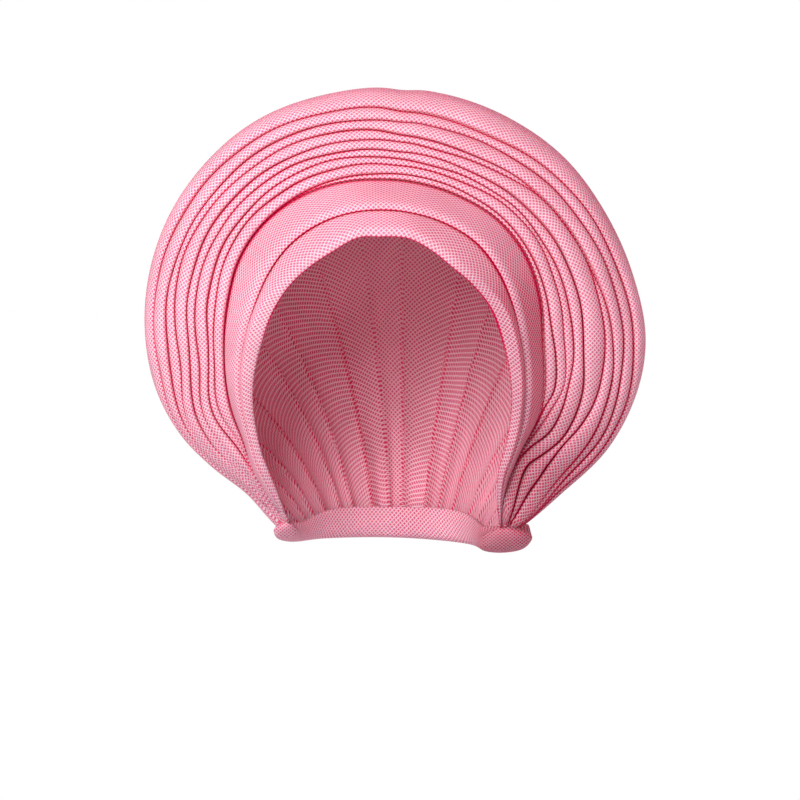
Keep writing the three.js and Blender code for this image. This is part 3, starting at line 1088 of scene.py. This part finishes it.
@dataclass(kw_only=True)
class BackCrown(ClothPiece):
    """The crown behind the fan: it goes back from the rim and is gathered down to the nape."""

    node: str = "back_crown"
    flat_size: Pair = (0.3, 0.62)
    cut_area: float = 0.08
    hold: Hold = Hold.GATHERED
    ends: Pair = (-152.0, 146.0)
    hem_ends: Pair = (-78.0, 78.0)
    sections: int = 300
    columns: int = 64
    rim_stand: float = 2.5
    rim_handle: float = 0.3
    nape_handle: float = 0.5
    lean: float = 28.0
    gathers: int = 17
    gather_depth: float = 4.2
    gather_growth: Pair = (0.2, 0.85)
    gather_level: float = 0.6
    gather_round: float = 0.8
    drift: float = 0.16
    drift_rate: float = 2.3
    # Painted red shade in the hollows between the gathers, growing towards the nape.
    painted_crease_red: float = 0.6
    red_growth: Pair = (0.25, 0.8)
    red_width: Pair = (0.0, 0.45)
    nape: NapeLine = NapeLine()

    def smooth_points(self, angles: Array, share: Array) -> Array:
        """Points of the crown before it is gathered: a cubic Bezier curve from rim to nape in each section.

        Args:
            angles: the sections' angles round the face.
            share: places along each curve.

        Returns:
            Grid of points, sections by places by three.
        """
        edges = rows_at(SECTIONS, angles)
        rim = around(angles, (edges.rim_r - self.rim_stand)[:, None], edges.rim_y[:, None])
        nape_angles = np.interp(angles, self.ends, self.hem_ends)
        hem_z = rows_at(NAPE_SECTIONS, nape_angles).hem_z
        hem = self.nape.points(nape_angles, 0, hem_z)[:, None]
        span = np.linalg.norm(hem - rim, axis=-1)[:, 0]
        leave = rim + np.array([0.0, 1.0, 0.0]) * (self.rim_handle * span)[:, None, None]
        handle = self.nape_handle * span
        lean = math.radians(self.lean)
        arrive_z = hem_z + handle * math.cos(lean)
        arrive = self.nape.points(nape_angles, handle * math.sin(lean), arrive_z)[:, None]
        t = share[None, :, None]
        return (1 - t) ** 3 * rim + 3 * t * (1 - t) ** 2 * leave + 3 * t * t * (1 - t) * arrive + t**3 * hem

    def sheet(self) -> Sheet:
        """Work out the crown: its smooth form moved along its normals by gathers that grow to the nape.

        A gather is half a sine wave, raised to a power that rounds it, and the waves drift unevenly.

        Returns:
            The crown's sheet.
        """
        angles = np.linspace(*self.ends, self.sections)
        share = np.linspace(0, 1, self.columns)
        smooth = self.smooth_points(angles, share)
        turns = np.interp(angles, self.ends, (0, self.gathers))[:, None]
        drift = self.drift * np.sin(self.drift_rate * turns)
        uneven = turns + drift * np.sin(np.pi * turns / self.gathers)
        wave = np.abs(np.sin(np.pi * uneven)) ** self.gather_round
        swell = self.gather_depth * smoothstep(share, *self.gather_growth)[None, :]
        points = smooth + grid_normals(smooth) * (swell * (wave - self.gather_level))[..., None]
        # Painted shade: the hollows between the gathers are painted red.
        red = self.painted_crease_red * smoothstep(share, *self.red_growth)[None, :]
        painted_light = red * (1 - smoothstep(wave, *self.red_width))
        return Sheet(points, self.gathered_weave(smooth, uneven), painted_light)

    def gathered_weave(self, smooth: Array, turns: Array) -> Array:
        """Places on the flat cloth: true to size within each gather, the cloth between them folded away.

        Args:
            smooth: the crown's grid before it is gathered.
            turns: the number of the gather at each section, with the share of the way through it.

        Returns:
            Places for the corners of the grid's quads.
        """
        steps = np.linalg.norm(np.diff(smooth, axis=0), axis=-1)
        along = np.concatenate([np.zeros((1, self.columns)), np.cumsum(steps, axis=0)])
        gather = np.floor((turns[:-1] + turns[1:]) / 2)
        middle = np.argmin(np.abs(turns - (gather.T + 0.5)), axis=0)
        rim_place = along[middle, 0][:, None]
        near = along[:-1] - along[middle] + rim_place
        far = along[1:] - along[middle] + rim_place
        across = arc_lengths(smooth)
        return np.stack([quad_corners(near, far), quad_corners(across[:-1], across[1:])], axis=-1)


@dataclass(kw_only=True)
class NapeRoll(ClothPiece):
    """The turned-up roll at the nape: a long pouch round the back of the neck with rounded ends.

    The cloth is drawn together at the ends. The right end flares, and is painted redder and darker: painted
    shade.
    """

    node: str = "nape_roll"
    flat_size: Pair = (0.05, 0.24)
    end: float = 102.0
    rounding: float = 26.0
    tip: float = 0.004
    tip_height: float = 0.75
    shut_rounding: Pair = (0.0, 0.7)
    shut_heights: Pair = (0.5, 1.0)
    flare: float = 4.5
    flare_level: float = 0.45
    # Painted shade at the right end: where it comes in, its painted red and how much darker it paints the
    # cloth.
    right_angles: Pair = (30.0, 85.0)
    right_painted_red: float = 0.42
    right_painted_shade: float = 0.3
    sections: int = 200
    columns: int = 48
    mean_radius: float = 66.0
    tip_weave: float = 0.5
    tip_gather: Pair = (1.2, 1.5)
    nape: NapeLine = NapeLine()

    def sheet(self) -> Sheet:
        """Work out the roll: its wall profile carried round the nape, shrunk and shut at the ends.

        Returns:
            The roll's sheet.
        """
        spread = np.linspace(-1, 1, self.sections)
        angles = self.end * np.sin(spread * math.pi / 2)
        rows = rows_at(NAPE_SECTIONS, angles)
        profile = smooth_profile(ROLL_PROFILE, self.columns)
        into = np.clip(np.abs(angles) - (self.end - self.rounding), 0, None) / self.rounding
        size = lerp(self.tip, 1, np.sqrt(np.clip(1 - into**2, 0, 1)))[:, None]
        shut = smoothstep(into, *self.shut_rounding)[:, None] * smoothstep(profile.up, *self.shut_heights)
        wall = lerp(profile.across, 0.5, shut)
        out = lerp(rows.inner[:, None], rows.outer[:, None], 0.5 + (wall - 0.5) * size)
        to_right = smoothstep(angles, *self.right_angles)[:, None]
        out = out + self.flare * (profile.up - self.flare_level) * size * to_right
        up = self.tip_height + (profile.up - self.tip_height) * size
        z = lerp(rows.bottom_z[:, None], rows.lip_z[:, None], up)
        points = self.nape.points(angles[:, None], out, z)
        round_nape = weave_places(np.radians(angles)[:, None] * self.mean_radius, arc_lengths(points))
        gather_x, gather_z = self.tip_gather
        facing = weave_places(points[..., 0] * gather_x, points[..., 2] * gather_z)
        weave = np.where((into > self.tip_weave)[1:, None, None, None], facing, round_nape)
        # Painted shade: the right end is painted redder and darker.
        return Sheet(points, weave, self.right_painted_red * to_right, self.right_painted_shade * to_right)


@dataclass
class Studio:
    """Pale floor, soft key light, white surround, and the camera at the photograph's angle."""

    floor_z: float = -420.0
    floor_half: float = 9000.0
    surround: str = "#ffffff"
    bounce: str = "#ffb4c6"
    bounce_strengths: Pair = (0.17, 0.6)
    key_way: tuple[float, float, float] = (-0.36, -0.84, 0.4)
    key_away: float = 1100.0
    key_side: float = 560.0
    key_power: float = 10.6
    camera_place: tuple[float, float, float] = (10.1, -2200.0, -25.2)
    lens: float = 176.8

    def build(self) -> None:
        """Set up the floor, the light and the camera."""
        self.floor()
        self.light()
        self.camera()

    def floor(self) -> None:
        """Lay a flat square floor, in its matt paint."""
        half, z = self.floor_half * MM, self.floor_z * MM
        mesh = bpy.data.meshes.new("studio_floor")
        corners = [(-half, -half, z), (half, -half, z), (half, half, z), (-half, half, z)]
        mesh.from_pydata(corners, [], [(0, 1, 2, 3)])
        mesh.materials.append(PaintedFloor().material())
        floor = bpy.data.objects.new("studio_floor", mesh)
        bpy.context.scene.collection.objects.link(floor)

    def light(self) -> None:
        """Hang a soft square key at the upper left front, in a white surround with a dim pink bounce.

        The bounce is stronger from above: its strength goes by the height of the direction it comes from.
        """
        scene = bpy.context.scene
        world = bpy.data.worlds.new("white_surround")
        world.use_nodes = True
        tree = world.node_tree
        seen = add_node(tree, "LightPath", {}, {}, "Is Camera Ray")
        way = add_node(tree, "TexCoord", {}, {}, "Generated")
        height = add_node(tree, "SeparateXYZ", {}, (way,), "Z")
        strength = add_node(tree, "MapRange", {}, (height, -1.0, 1.0, *self.bounce_strengths))
        bounce = add_node(tree, "Background", {}, {"Color": linear(self.bounce), "Strength": strength})
        white = tree.nodes["Background"]
        white.inputs["Color"].default_value = linear(self.surround)
        either = add_node(tree, "MixShader", {}, (seen, bounce, white.outputs[0]))
        tree.links.new(either, tree.nodes["World Output"].inputs["Surface"])
        scene.world = world
        scene.view_settings.view_transform = "Standard"
        data = bpy.data.lights.new("key", "AREA")
        data.size = self.key_side * MM
        data.energy = self.key_power
        key = bpy.data.objects.new("key", data)
        key.visible_camera = False
        away = np.array(self.key_way)
        key.location = away * self.key_away * MM
        turn = math.atan2(away[0], -away[1])
        tilt = math.atan2(math.hypot(away[0], away[1]), away[2])
        key.rotation_euler = (tilt, 0.0, turn)
        scene.collection.objects.link(key)

    def camera(self) -> None:
        """Place the level camera that looks straight at the face opening."""
        data = bpy.data.cameras.new("camera")
        data.lens = self.lens
        camera = bpy.data.objects.new("camera", data)
        camera.location = np.array(self.camera_place) * MM
        camera.rotation_euler = (math.pi / 2, 0.0, 0.0)
        bpy.context.scene.collection.objects.link(camera)
        bpy.context.scene.camera = camera


def main() -> None:
    """Build the studio and every cloth piece in order, and log how many points each cloth piece has."""
    logging.basicConfig(level=logging.INFO)
    Studio().build()
    cloth = WovenCloth().material()
    parts = (
        BrowBand(
            node="brow_band_lower",
            place=BandPlace.LOWER,
            flat_size=(0.042, 0.36),
            edge_width=4.3,
            edge_most=(0.4, 0.7),
            widening=1.0,
            tail=BandRow(1.0, 0.0, 1.3, -1.0),
            right_highlight=0.1,
        ),
        BrowBand(
            node="brow_band_upper",
            place=BandPlace.UPPER,
            flat_size=(0.05, 0.42),
            edge_width=3.2,
            edge_most=(0.35, 0.35),
            widening=0.0,
            tail=BandRow(1.0, 0.0, 1.0, -2.6),
            right_highlight=0.3,
        ),
        PleatedFan(),
        BackCrown(),
        NapeRoll(),
    )
    for part in parts:
        piece = part.build()
        part.dress(piece, cloth)
        LOG.info("%s: %d points", piece.name, len(piece.data.vertices))


if __name__ == "__main__":
    main()
